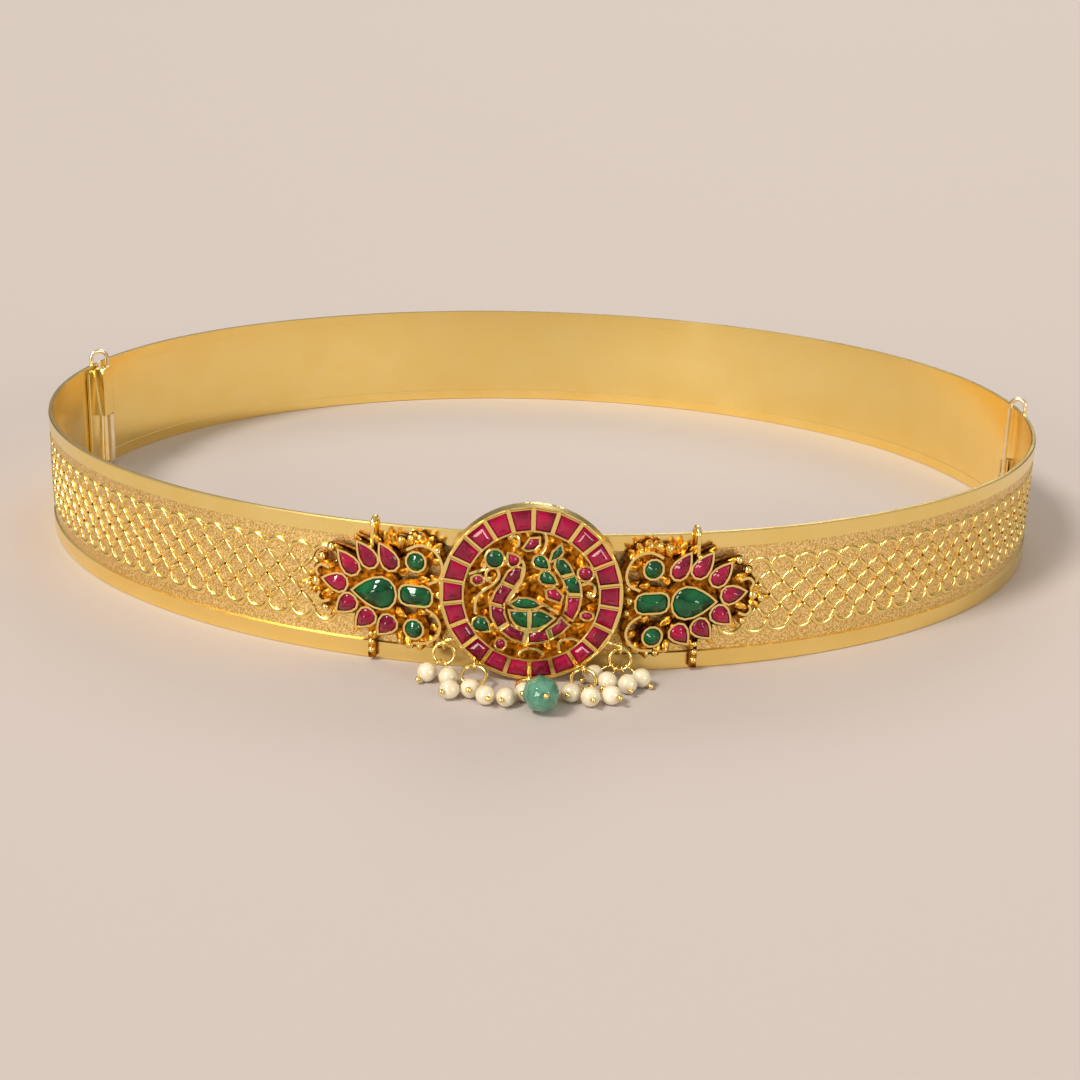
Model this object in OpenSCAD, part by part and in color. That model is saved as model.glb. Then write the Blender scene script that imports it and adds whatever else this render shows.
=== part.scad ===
// A rigid waist belt: an oval gilt band in two sections that hairpins join at the sides.
// A peacock disc and two flower motifs, set with red and green stones, sit on its front.
// Five pearl drops hang from them and lie on the surface that the belt stands on.

/* [Band] */
// Outside length of the oval, side to side
belt_l = 270; // [240:1:310]
// Outside depth of the oval, front to back
belt_d = 252; // [225:1:280]
// How far the end arcs' radius is from half of the depth: less on a long oval, more on a deep one
side_bow = 6; // [4:0.5:12]
// Height of the band
band_h = 31.3; // [28:0.1:38]
// Thickness of the band at its polished rims
wall = 1.2; // [1:0.1:1.8]
// Depth of the matt ground below the rims
recess = 0.5; // [0.45:0.05:0.6]
// Height of the upper polished rim
rim_top_h = 3.8; // [3:0.1:5]
// Height of the lower polished rim
rim_low_h = 4.2; // [3:0.1:5]
// Height of the smooth edge band on the inside
in_rim_h = 3.2; // [2:0.1:5]

/* [Trellis relief] */
// Distance between neighbouring arcs of the trellis
mesh_pitch = 5.9; // [5:0.1:8]
// Height of half a diamond
mesh_row = 2.85; // [2.4:0.05:3.4]
// Width of a raised line at its foot
mesh_line_w = 0.8; // [0.5:0.05:1.1]
// Height of a raised line above its ground
mesh_line_h = 0.32; // [0.2:0.02:0.34]
// Thickness of the sheet behind the lines
mesh_sheet = 0.12; // [0.08:0.01:0.2]
// Plain stretch of the band on each side of the middle, behind the stones
mesh_free = 39; // [30:1:60]

/* [Hinge and clasp] */
// How far the left pin stands behind the belt's widest line
left_back = 26; // [10:1:40]
// How far the right pin stands behind the belt's widest line
right_back = 2.5; // [0:0.5:30]
// Radius of the hairpins' wire
pin_r = 0.6; // [0.5:0.05:0.8]
// Radial clearance of a pin in its barrel
pin_fit = 0.05; // [0.02:0.01:0.1]
// Outer radius of the barrels
barrel_r = 1.3; // [1.2:0.05:1.4]
// Distance of a pin's axis from the inner face of the band
pin_in = 1.5; // [1.45:0.05:2]
// Height of the middle gap between the barrels
barrel_split = 15.8; // [14:0.1:18]
// Length of the leaf that backs the left hinge
leaf_l = 11; // [8:0.5:14]
// Length of a hairpin's outer leg below the rim
outer_leg = 7; // [4:0.5:12]

/* [Disc] */
// Outer radius of the disc
disc_r = 19.4; // [18:0.1:21]
// Height of the disc's centre
disc_z = 20; // [19.6:0.1:24]
// Gap between the disc's back and the band's rims
disc_gap = 3.2; // [2.8:0.1:4]
// Depth of the disc's gallery, back to face
disc_deep = 3.3; // [2.9:0.1:4.2]
// Thickness of the disc's back plate
disc_plate = 0.9; // [0.6:0.1:1.2]
// Number of square stones round the disc
ring_count = 22; // [18:1:26]
// Radius of the gold line inside the square stones
ring_in = 14.3; // [13.6:0.1:15]
// How far that line's centre lies below the disc's
ring_drop = 0.5; // [0:0.1:0.8]
// Width of the gold between neighbouring square stones
ring_wall = 0.9; // [0.5:0.05:1.2]
// Thickness of the gold walls round the other stones
bezel = 0.45; // [0.35:0.05:0.6]
// Depth of the pockets that the stones sit in
pocket = 1.3; // [1:0.1:1.6]
// Gap round each stone in its pocket
stone_gap = 0.06; // [0.04:0.01:0.1]

/* [Side motifs] */
// Distance of a motif's middle from the disc's, along the band
motif_s = 33; // [31:0.5:40]
// Height of the motifs' middle
motif_z = 17; // [15:0.1:19]
// Gap between a motif's back and the band's rims
motif_gap = 0.35; // [0.3:0.05:0.8]
// Thickness of a motif's cast plate
motif_plate = 1.1; // [0.9:0.1:1.6]
// Height of a motif's stone walls above its plate
motif_wall = 1.5; // [1.2:0.1:2]

/* [Drops] */
// Radius of the pearls
pearl_r = 2.1; // [1.8:0.05:2.2]
// Largest radius of the ribbed bead
bead_r = 4; // [3.4:0.1:4.4]
// Length of the ribbed bead along its pin
bead_l = 8.6; // [7:0.1:9]
// Radius of the jump rings' wire
ring_wire = 0.38; // [0.3:0.02:0.42]
// Radius of the three inner jump rings, to the wire's middle
ring_big = 2.6; // [2.4:0.05:2.9]
// Radius of the two outer jump rings, to the wire's middle
ring_small = 2.3; // [2:0.05:2.4]
// Radius of the head pins' wire
head_wire = 0.22; // [0.18:0.01:0.25]
// Radius of the loops on the head pins, to the wire's middle
head_loop = 0.8; // [0.75:0.01:0.85]
// Radius of the ball at a head pin's end
head_ball = 0.62; // [0.5:0.02:0.7]
// Clearance of a head pin in a drilled pearl
drill_fit = 0.08; // [0.05:0.01:0.12]

/* [Hidden] */

$fn = 48;
gold = "#d9a441";
ground_gold = "#e0b565";
ruby = "#a3063f";
emerald = "#0b6b3f";
pearl_white = "#efe6d2";
melon_green = "#5fae93";

// The oval: four arcs that run into one another, the front and back ones alike, the ends alike
half_l = belt_l / 2;
half_d = belt_d / 2;
bow = half_l >= half_d ? side_bow : -side_bow;
side_r = half_d - bow;
side_x = half_l - side_r;
front_r = (side_x * side_x + half_d * half_d - side_r * side_r) / (2 * bow);
front_y = front_r - half_d;
turn = atan2(abs(side_x), abs(front_y));
front_run = front_r * turn * PI / 180;

// A place on the outer line: s is the way along it from the front's middle, right positive
function along(s) = abs(s) <= front_run
  ? let (a = s / front_r * 180 / PI) [front_r * sin(a), front_y - front_r * cos(a), a]
  : let (side = sign(s), a = turn + (abs(s) - front_run) / side_r * 180 / PI)
    [side * (side_x + side_r * sin(a)), -side_r * cos(a), side * a];
function on_band(s, z, out) = let (p = along(s))
  [p[0] + out * sin(p[2]), p[1] - out * cos(p[2]), z];

// Angles of the two pins on the end arcs, and of a step along those arcs
left_turn = asin(left_back / side_r);
right_turn = asin(right_back / side_r);
function step_turn(way) = way / side_r * 180 / PI;
// The end arcs are drawn a hair thinner and run on under the wide ones
lap = 0.02;
lap_run = 0.3;
pin_circle = side_r - wall - pin_in;

// Where the sections end, measured along the band from each pin, the back positive
left_front_end = -2.8;
left_back_end = 0.3;
right_front_end = 0.6;
right_back_end = 1;
edge = 0.25;
in_step = 0.12;
barrel_foot = 1.2;
barrel_top = band_h - 1.3;
barrel_gap = 0.4;
clasp_top = 11.5;
hook_low = 12;
hook_top = 16;
hook_gap = 0.25;
hook_open = 10;
hook_foot = 0.45;
hook_run = 1.7;
pin_foot = 0.6;
pin_over = 0.9;
leg_gap = 0.2;
leg_out = pin_in + wall + leg_gap + pin_r;
left_leg_y = -3.1;
right_leg_y = -2.2;

// The drops: jump rings as [x, y, z of the eye that each hangs in, radius, slope or 0 to fit]
floor_gap = 0.1;
loop_low = head_loop + head_wire + floor_gap;
disc_face = -half_d - disc_gap - disc_deep;
eye_r = 0.95;
eye_wire = 0.33;
disc_x = -0.5;
side_eye_x = 11.6;
side_eye_z = 4.1;
mid_eye_z = 1.3;
eye_reach = 1.6;
outer_eye = [18.9, disc_face + 1.9, 7.6];
rings = [
  [-outer_eye[0], outer_eye[1], outer_eye[2], ring_small, 80],
  [disc_x - side_eye_x, disc_face - eye_reach, side_eye_z, ring_big, 0],
  [disc_x, disc_face - eye_reach, mid_eye_z, ring_big, 0],
  [disc_x + side_eye_x, disc_face - eye_reach, side_eye_z, ring_big, 0],
  [outer_eye[0], outer_eye[1], outer_eye[2], ring_small, 80]
];
// A ring's slope: down to where its loops just clear the floor, or as stated
function slope(r) = r[4] > 0 ? r[4] : asin(max(0, r[2] - loop_low) / (2 * r[3]));
function ring_mid(r) = [r[0], r[1] - r[3] * cos(slope(r)), r[2] - r[3] * sin(slope(r))];
function ring_point(r, turned) = let (b = slope(r)) ring_mid(r)
  + r[3] * [sin(turned), -cos(turned) * cos(b), -cos(turned) * sin(b)];

// Pearls as [ring, turn on the ring, x and y from the ring's lowest point]
pearl_gap = 0.02;
lie = pearl_r + pearl_gap;
pearls = [
  [0, -30, -3.4, -2.4], [0, 12, 1.3, -4.6],
  [1, -36, -4.8, -4.2], [1, -4, -0.5, -3.4], [1, 28, 2.8, -6.6],
  [2, -46, -4.5, -6.3], [2, -10, -0.8, -3.4], [2, 50, 4.7, -2.6],
  [3, -30, -2.6, -3.9], [3, 4, 1.4, -5.8], [3, 40, 5.8, -4.5],
  [4, -60, -5.6, -0.5], [4, -22, -2.7, -4.1], [4, 12, 1.6, -5.3], [4, 50, 4.6, -1.8]
];
function pearl_at(p) = let (low = ring_point(rings[p[0]], 0)) [low[0] + p[2], low[1] + p[3], lie];
function pearl_from(p) = ring_point(rings[p[0]], p[1]);
// The way that a ring's wire runs at a turn
function ring_way(r, turned) = let (b = slope(r))
  [cos(turned), sin(turned) * cos(b), sin(turned) * sin(b)];
bead_ring = 2;
bead_turn = 22;
bead_gap = 0.15;
bead_lie = bead_r + bead_gap;
bead_from = ring_point(rings[bead_ring], bead_turn);
bead_at = let (low = ring_point(rings[bead_ring], 0)) [low[0] + 2.8, low[1] - 8.8, bead_lie];
bead_way = (bead_at - bead_from) / norm(bead_at - bead_from);
ball_gap = 0.05;
bead_end = bead_at + bead_way * (bead_l / 2 + head_ball + ball_gap);

// The origin lies under the middle of the whole box, drops and hairpins included
right_reach = side_x + (pin_circle + leg_out) * cos(right_turn) - right_leg_y * sin(right_turn)
  + pin_r;
seat_x = (half_l - right_reach) / 2;
seat_y = -(bead_end[1] - head_ball + half_d) / 2;
module seat() translate([seat_x, seat_y, 0]) children();

// The band's section, x = 0 on its outer face; sunk is how deep its ground lies
module band_profile(r, sunk) translate([r, 0]) polygon([
  [-wall + edge, 0], [-edge, 0], [0, edge], [0, rim_low_h - sunk / 2], [-sunk, rim_low_h],
  [-sunk, band_h - rim_top_h], [0, band_h - rim_top_h + sunk / 2], [0, band_h - edge],
  [-edge, band_h], [-wall + edge, band_h], [-wall, band_h - edge], [-wall, band_h - in_rim_h],
  [-wall + in_step, band_h - in_rim_h - in_step], [-wall + in_step, in_rim_h + in_step],
  [-wall, in_rim_h], [-wall, edge]
]);
module plain_profile(r) translate([r, 0]) polygon([
  [-wall + edge, 0], [-edge, 0], [0, edge], [0, band_h - edge],
  [-edge, band_h], [-wall + edge, band_h], [-wall, band_h - edge], [-wall, band_h - in_rim_h],
  [-wall + in_step, band_h - in_rim_h - in_step], [-wall + in_step, in_rim_h + in_step],
  [-wall, in_rim_h], [-wall, edge]
]);
module swept(centre, from, to) translate(centre) rotate([0, 0, from])
  rotate_extrude(angle = to - from) children();
module end_arc(side, from, to) swept([side * side_x, 0, 0], from, to)
  offset(delta = -lap) children();

// The webs join the barrels to the band, a hair inside its ends
web_run = 2.1;
web_in = 0.1;

// Frames at the two pins: x points out of the belt, y along the band to the back
module at_left_pin() translate([-side_x, 0, 0]) rotate([0, 0, 180 - left_turn])
  mirror([0, 1, 0]) translate([pin_circle, 0, 0]) children();
module at_right_pin() translate([side_x, 0, 0]) rotate([0, 0, right_turn])
  translate([pin_circle, 0, 0]) children();
module barrel(low, top) translate([0, 0, low]) cylinder(r = barrel_r, h = top - low);
module bore() translate([0, 0, -1]) cylinder(r = pin_r + pin_fit, h = band_h + 2);
module web(low, top, y0, y1) translate([pin_r + pin_fit, y0, low])
  cube([pin_in + wall / 2 - pin_r - pin_fit, y1 - y0, top - low]);

// The strap carries the left upper barrel clear of the back section as that swings out
strap_run = 2.6;
strap_clear = 0.4;
strap_corner = [-0.1, -0.35];
module left_strap() translate([0, 0, barrel_split + barrel_gap / 2])
  linear_extrude(barrel_top - barrel_split - barrel_gap / 2) polygon([
    [-barrel_r, 0], [-barrel_r, left_front_end - strap_run],
    [pin_in + wall / 2, left_front_end - strap_run],
    [pin_in + wall / 2, left_front_end - strap_clear],
    [strap_corner[0], left_front_end - strap_clear], [strap_corner[1], 0]
  ]);
leaf_t = 0.45;
leaf_foot = 1.5;
module left_leaf() {
  swept([-side_x, 0, 0], 180 - left_turn - step_turn(left_front_end - strap_clear),
    180 - left_turn + step_turn(leaf_l))
    translate([side_r - wall - leaf_t, leaf_foot])
      square([leaf_t + wall / 2, band_h - 2 * leaf_foot]);
  at_left_pin() translate([pin_in - 2 * leaf_t, -leaf_l, leaf_foot])
    cylinder(r = leaf_t, h = band_h - 2 * leaf_foot);
}

module front_band() color(gold) seat() difference() {
  union() {
    swept([0, front_y, 0], -90 - turn, turn - 90) band_profile(front_r, recess);
    end_arc(1, turn - 90 - lap_run, right_turn + step_turn(right_front_end))
      band_profile(side_r, recess);
    end_arc(-1, -180 - left_turn - step_turn(left_front_end), lap_run - 90 - turn)
      band_profile(side_r, recess);
    at_left_pin() {
      barrel(barrel_split + barrel_gap / 2, barrel_top);
      left_strap();
    }
    left_leaf();
    at_right_pin() {
      barrel(barrel_foot, clasp_top);
      web(barrel_foot, clasp_top, -web_run, right_front_end - web_in);
    }
  }
  at_left_pin() bore();
  at_right_pin() bore();
}

module back_band() color(gold) seat() difference() {
  union() {
    swept([0, -front_y, 0], 90 - turn, 90 + turn) plain_profile(front_r);
    end_arc(1, right_turn + step_turn(right_back_end), 90 - turn + lap_run)
      plain_profile(side_r);
    end_arc(-1, 90 + turn - lap_run, 180 - left_turn - step_turn(left_back_end))
      plain_profile(side_r);
    at_left_pin() {
      barrel(barrel_foot, barrel_split - barrel_gap / 2);
      web(barrel_foot, barrel_split - barrel_gap / 2, left_back_end + web_in, left_back_end + web_run);
    }
    at_right_pin() translate([0, 0, hook_low]) {
      rotate([0, 0, hook_open]) rotate_extrude(angle = 180 - 2 * hook_open)
        translate([pin_r + hook_gap, 0]) square([barrel_r - pin_r - hook_gap, hook_top - hook_low]);
      translate([hook_foot, right_back_end + lap, 0])
        cube([pin_in + wall / 2 - hook_foot, hook_run, hook_top - hook_low]);
    }
  }
  at_left_pin() bore();
}

// How far a leg runs on into the bend, and how much slimmer than the bend it is
leg_into = 0.2;
leg_slim = 0.02;
// A bent wire over the rim: one leg down the barrels, one short leg outside the band
module leg(foot) {
  leg_r = pin_r - leg_slim;
  blunt = pin_r / 2;
  top = band_h + pin_over + leg_into;
  translate([0, 0, foot]) rotate_extrude() polygon([[0, 0], [leg_r - blunt, 0], [leg_r, blunt],
    [leg_r, top - foot], [0, top - foot]]);
}
module hairpin(leg_y) rotate([0, 0, atan2(leg_y, leg_out)]) {
  bow = round(norm([leg_out, leg_y]) * 50) / 100;
  leg(pin_foot);
  translate([0, 0, band_h + pin_over]) translate([bow, 0, 0]) rotate([90, 0, 0])
    rotate_extrude(angle = 180) translate([bow, 0]) circle(r = pin_r);
  translate([2 * bow, 0, 0]) leg(band_h - outer_leg);
}
module left_hairpin() color(gold) seat() at_left_pin() hairpin(left_leg_y);
module right_hairpin() color(gold) seat() at_right_pin() hairpin(right_leg_y);

// The trellis: columns half a pitch wide, with crossing slopes and an arc at both ends
mesh_half = mesh_pitch / 2;
mesh_side = mesh_line_w / 2;
mesh_up = mesh_side * norm([mesh_half, mesh_row]) / mesh_half;
mesh_across = mesh_side * norm([mesh_half, mesh_row]) / mesh_row;
ground_low = rim_low_h + 0.1;
ground_high = band_h - rim_top_h - 0.1;
mesh_mid = (ground_low + ground_high) / 2;
mesh_z0 = mesh_mid - 2 * mesh_row;
arc_steps = 3;
back_out = -recess + 0.04;
ground_out = back_out + mesh_sheet;
crest_out = ground_out + mesh_line_h;

function flip(p) = [p[0], 2 * mesh_mid - p[1], p[2]];
function row(v) = mesh_z0 + v * mesh_row;
// Points of one column: u runs across it from 0 to mesh_half, p[2] tells how far out it is
function arc_point(k, r, out) = let (t = 90 * k / arc_steps)
  [mesh_half - r * cos(t), row(4) + r * sin(t), out];
crest_arc = [for (k = [0:arc_steps]) arc_point(k, mesh_half, crest_out)];
inner_arc = [for (k = [0:arc_steps]) arc_point(k, mesh_half - mesh_side, ground_out)];
outer_arc = concat([[0, row(4) + mesh_up, ground_out]],
  [for (k = [1:arc_steps]) arc_point(k, mesh_half + mesh_side, ground_out)]);
top_left = [0, ground_high, ground_out];
top_right = [mesh_half, ground_high, ground_out];

function quad(a, b, c, d) = [[a, b, c], [a, c, d]];
function each_of(lists) = [for (l = lists) for (t = l) t];
// One slope between a left node at row v and a right node at row v + way
function ridge(v, way) = let (
    a = [0, row(v), crest_out], b = [mesh_half, row(v + way), crest_out],
    a_up = [0, row(v) + way * mesh_up, ground_out],
    b_in = [mesh_half - mesh_across, row(v + way), ground_out],
    a_in = [mesh_across, row(v), ground_out],
    b_down = [mesh_half, row(v + way) - way * mesh_up, ground_out]
  ) way > 0 ? concat(quad(a, b, b_in, a_up), quad(a, a_in, b_down, b))
            : concat(quad(a, a_up, b_in, b), quad(a, b, b_down, a_in));
// The arch at the upper end of a column
arch_feet = [for (k = [0:arc_steps]) k == 0 ? [mesh_across, row(4), ground_out] : inner_arc[k]];
upper_end = each_of([
  each_of([for (k = [0:arc_steps - 1])
    concat(quad(crest_arc[k], crest_arc[k + 1], outer_arc[k + 1], outer_arc[k]),
           quad(crest_arc[k], arch_feet[k], arch_feet[k + 1], crest_arc[k + 1]))]),
  [for (k = [0:arc_steps - 1]) [[mesh_half, row(3) + mesh_up, ground_out],
    arch_feet[k + 1], arch_feet[k]]],
  [for (k = [0:arc_steps - 1]) [top_left, outer_arc[k], outer_arc[k + 1]]],
  [[top_left, outer_arc[arc_steps], top_right]]
]);
lower_end = [for (t = upper_end) [flip(t[0]), flip(t[2]), flip(t[1])]];
diamonds = [
  [[0, row(4) - mesh_up, ground_out], [0, row(2) + mesh_up, ground_out],
   [mesh_half - mesh_across, row(3), ground_out]],
  [[0, row(2) - mesh_up, ground_out], [0, row(0) + mesh_up, ground_out],
   [mesh_half - mesh_across, row(1), ground_out]],
  [[mesh_across, row(2), ground_out], [mesh_half, row(1) + mesh_up, ground_out],
   [mesh_half, row(3) - mesh_up, ground_out]]
];
column_front = concat(ridge(4, -1), ridge(2, 1), ridge(2, -1), ridge(0, 1), diamonds,
  upper_end, lower_end);
column_rest = concat(
  quad([0, ground_low, back_out], [0, ground_high, back_out],
       [mesh_half, ground_high, back_out], [mesh_half, ground_low, back_out]),
  quad([0, ground_high, back_out], top_left, top_right, [mesh_half, ground_high, back_out]),
  quad([0, ground_low, back_out], [mesh_half, ground_low, back_out],
       flip(top_right), flip(top_left)));
column = concat(column_front, column_rest);
// The plain end: from a column's left edge out to a flat end
edge_points = [
  flip(top_left), [0, row(0) - mesh_up, ground_out], [0, row(0), crest_out],
  [0, row(0) + mesh_up, ground_out], [0, row(2) - mesh_up, ground_out], [0, row(2), crest_out],
  [0, row(2) + mesh_up, ground_out], [0, row(4) - mesh_up, ground_out], [0, row(4), crest_out],
  [0, row(4) + mesh_up, ground_out], top_left
];
function run_out(p) = [-1, p[1], ground_out];
last = len(edge_points) - 1;
end_cap = each_of([
  each_of([for (i = [0:last - 1]) quad(edge_points[i], edge_points[i + 1],
    run_out(edge_points[i + 1]), run_out(edge_points[i]))]),
  [for (i = [0:last - 1]) [[-1, ground_low, back_out], run_out(edge_points[i]),
    run_out(edge_points[i + 1])]],
  [[[-1, ground_low, back_out], run_out(edge_points[last]), [-1, ground_high, back_out]]],
  quad([-1, ground_low, back_out], [-1, ground_high, back_out],
       [0, ground_high, back_out], [0, ground_low, back_out]),
  quad([-1, ground_high, back_out], run_out(edge_points[last]), top_left,
       [0, ground_high, back_out]),
  quad([-1, ground_low, back_out], [0, ground_low, back_out], flip(top_left),
       run_out(edge_points[0]))
]);

// Lays a column's triangles on the band; even columns run on, odd ones are mirrored
function laid(tris, s0, right_way) = [for (t = tris)
  let (w = [for (p = t) on_band(s0 + (right_way ? p[0] : -p[0]), p[1], p[2])])
    right_way ? w : [w[0], w[2], w[1]]];
module trellis(s_from, pitches) {
  tris = each_of(concat(
    [laid(end_cap, s_from, true)],
    [for (i = [0:pitches - 1]) concat(laid(column, s_from + i * mesh_pitch, true),
      laid(column, s_from + (i + 1) * mesh_pitch, false))],
    [laid(end_cap, s_from + pitches * mesh_pitch, false)]));
  points = each_of(tris);
  polyhedron(points = points, faces = [for (i = [0:len(tris) - 1]) [3 * i, 3 * i + 1, 3 * i + 2]]);
}
left_run = front_run + side_r * (90 - turn + left_turn) * PI / 180 + left_front_end - 1.6;
right_run = front_run + side_r * (90 - turn + right_turn) * PI / 180 + right_front_end - 1.6;
left_pitches = floor((left_run - mesh_free) / mesh_pitch);
right_pitches = floor((right_run - mesh_free) / mesh_pitch);
module left_panel() color(ground_gold) seat() trellis(-left_run, left_pitches);
module right_panel() color(ground_gold) seat()
  trellis(right_run - right_pitches * mesh_pitch, right_pitches);

// A line of constant width along points, as one outline
function lean(p, i) = let (a = p[max(0, i - 1)], b = p[min(len(p) - 1, i + 1)], d = b - a)
  [-d[1], d[0]] / norm(d);
module stroke(p, w) polygon(concat(
  [for (i = [0:len(p) - 1]) p[i] + lean(p, i) * w / 2],
  [for (i = [len(p) - 1:-1:0]) p[i] - lean(p, i) * w / 2]));
// A curve through hand-set points, three steps between neighbours
function smooth(p) = concat([for (i = [0:len(p) - 2]) for (t = [0, 1 / 3, 2 / 3])
  let (a = p[max(0, i - 1)], b = p[i], c = p[i + 1], d = p[min(len(p) - 1, i + 2)])
    0.5 * (2 * b + (c - a) * t + (2 * a - 5 * b + 4 * c - d) * t * t
      + (3 * b - a - 3 * c + d) * t * t * t)], [p[len(p) - 1]]);
function middle(o) = let (n = len(o)) [for (k = [0, 1]) [for (i = [0:n - 1]) 1 / n] * [for (q = o) q[k]]];
// An outline moved in by d, each corner along its own bisector
function shrink(o, d) = let (n = len(o)) [for (i = [0:n - 1])
  let (a = o[(i + n - 1) % n], b = o[i], c = o[(i + 1) % n],
       u = (b - a) / norm(b - a), v = (c - b) / norm(c - b),
       m = [-u[1] - v[1], u[0] + v[0]], f = 1 + u * v)
    b + m * d / f];
// A drop with its point at the right; drop_full is what its formula reaches at its widest
drop_full = 0.77;
function drop_shape(len, wide, n) = [for (i = [0:n - 1]) let (t = 360 * i / n)
  [len / 2 * cos(t), wide / 2 / drop_full * sin(t) * sin(t / 2)]];
function oval(len, wide, n) = [for (i = [0:n - 1]) let (t = 360 * (i + 0.5) / n)
  [len / 2 * cos(t), wide / 2 * sin(t)]];
function turned(o, a, at) = [for (p = o) [p[0] * cos(a) - p[1] * sin(a) + at[0],
  p[0] * sin(a) + p[1] * cos(a) + at[1]]];

// A flat-backed cut stone: straight girdle, two steps of facets and a table
module cut_stone(outline, low, girdle, high) {
  o = shrink(outline, stone_gap);
  m = middle(o);
  n = len(o);
  function level(share, z) = [for (p = o) [m[0] + (p[0] - m[0]) * share, m[1] + (p[1] - m[1]) * share, z]];
  points = concat(level(1, low), level(1, girdle), level(0.86, girdle + (high - girdle) * 0.7),
    level(0.62, high));
  polyhedron(points = points, faces = concat(
    [[for (i = [0:n - 1]) i]],
    [for (k = [0:2]) for (i = [0:n - 1]) let (j = (i + 1) % n)
      [k * n + i, (k + 1) * n + i, (k + 1) * n + j, k * n + j]],
    [[for (i = [n - 1:-1:0]) 3 * n + i]]));
}

// The disc's own plane: x right, y up, z out of the face, z = 0 at its back
module on_disc() translate([disc_x, -half_d - disc_gap, disc_z]) rotate([90, 0, 0]) children();
seat_z = disc_deep - pocket;
ring_lip = 0.2;
ring_out = disc_r - bezel - ring_lip;
function ring_inside(t) = let (s = -ring_drop * sin(t))
  s + sqrt((ring_in + bezel) * (ring_in + bezel) - pow(ring_drop * cos(t), 2));
function ring_cell(i) = let (
    t0 = 90 + 360 * i / ring_count, t1 = t0 + 360 / ring_count,
    r0 = ring_inside((t0 + t1) / 2),
    a = asin(ring_wall / 2 / ring_out), b = asin(ring_wall / 2 / r0))
  [r0 * [cos(t0 + b), sin(t0 + b)], ring_out * [cos(t0 + a), sin(t0 + a)],
   ring_out * [cos(t1 - a), sin(t1 - a)], r0 * [cos(t1 - b), sin(t1 - b)]];
function wound(o) = let (n = len(o), area = [for (i = [0:n - 1]) 1] * [for (i = [0:n - 1])
    o[i][0] * o[(i + 1) % n][1] - o[(i + 1) % n][0] * o[i][1]])
  area > 0 ? o : [for (i = [n - 1:-1:0]) o[i]];

// The peacock's stones as outlines in the disc's plane, drawn for a ring_in of 14.3
peacock_reds = [
  turned(drop_shape(2.9, 2.5, 10), 125, [-4.1, 7.7]),
  [[-2.2, 5.7], [-3.4, 5.9], [-4.9, 4.9], [-5.9, 2.9], [-3.7, 1.9], [-2.5, 3.5]],
  [[-6.3, 2.0], [-7.5, 0.3], [-8.3, -1.9], [-5.9, -2.5], [-5.0, -0.6], [-4.0, 1.1]],
  [[-8.4, -2.8], [-8.2, -5.2], [-6.9, -7.6], [-5.1, -6.3], [-5.8, -4.6], [-5.9, -3.3]],
  [[-6.0, -8.4], [-4.0, -9.9], [-1.7, -10.7], [-1.3, -8.6], [-3.0, -8.0], [-4.4, -7.1]],
  [[-0.3, -8.7], [-0.4, -10.8], [1.9, -10.7], [3.9, -10.1], [3.2, -8.0], [1.6, -8.5]],
  [[4.4, -7.5], [5.0, -9.4], [6.6, -8.3], [8.0, -6.7], [6.5, -5.3], [5.7, -6.4]],
  [[7.1, -4.2], [8.8, -5.3], [9.9, -3.0], [10.3, -0.4], [7.8, -0.4], [7.7, -2.3]],
  [[3.2, 1.0], [3.5, -0.6], [6.1, -1.5], [6.5, -0.1], [5.0, 1.4]],
  [[1.2, 12.5], [-0.5, 12.3], [-1.8, 10.3], [-1.2, 9.9], [0.4, 10.1], [1.3, 11.2]],
  turned(oval(3, 3, 10), 0, [11.3, 5.0]),
  turned(oval(2.4, 1.9, 8), 0, [-11.4, 2.9]),
  turned(oval(2.4, 1.7, 8), 0, [11.9, -4.4]),
  turned(oval(2.1, 2.3, 8), 0, [-6.3, -11.4])
];
peacock_greens = [
  turned(oval(3.7, 3.9, 12), 0, [-7.9, 7.7]),
  [[5.9, 11.0], [4.4, 9.6], [3.9, 7.7], [5.6, 8.6], [6.3, 9.6]],
  [[5.1, 8.1], [4.9, 6.4], [6.1, 4.5], [8.4, 5.2], [7.8, 6.6], [6.6, 7.9]],
  [[6.7, 3.5], [7.9, 0.7], [10.3, 0.7], [10.1, 2.5], [9.2, 4.4]],
  turned(drop_shape(3.7, 2.7, 10), -38, [2.0, 7.1]),
  turned(drop_shape(3.9, 2.7, 10), -28, [3.5, 3.6]),
  [[-4.3, -2.2], [-3.1, -3.0], [-0.9, -3.2], [0.8, -2.9], [1.9, -2.4], [0.5, -1.4], [-0.9, -1.0],
   [-2.6, -1.1]],
  [[-4.4, -3.9], [-4.1, -5.3], [-3.1, -6.7], [-1.8, -7.4], [-0.7, -7.5], [-0.7, -4.0]],
  [[0.2, -4.0], [0.2, -7.5], [1.7, -7.3], [3.3, -6.6], [4.8, -5.2], [3.2, -4.2], [1.8, -3.7]],
  turned(drop_shape(3.9, 3.3, 10), -35, [-10.3, -7.3])
];
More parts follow.
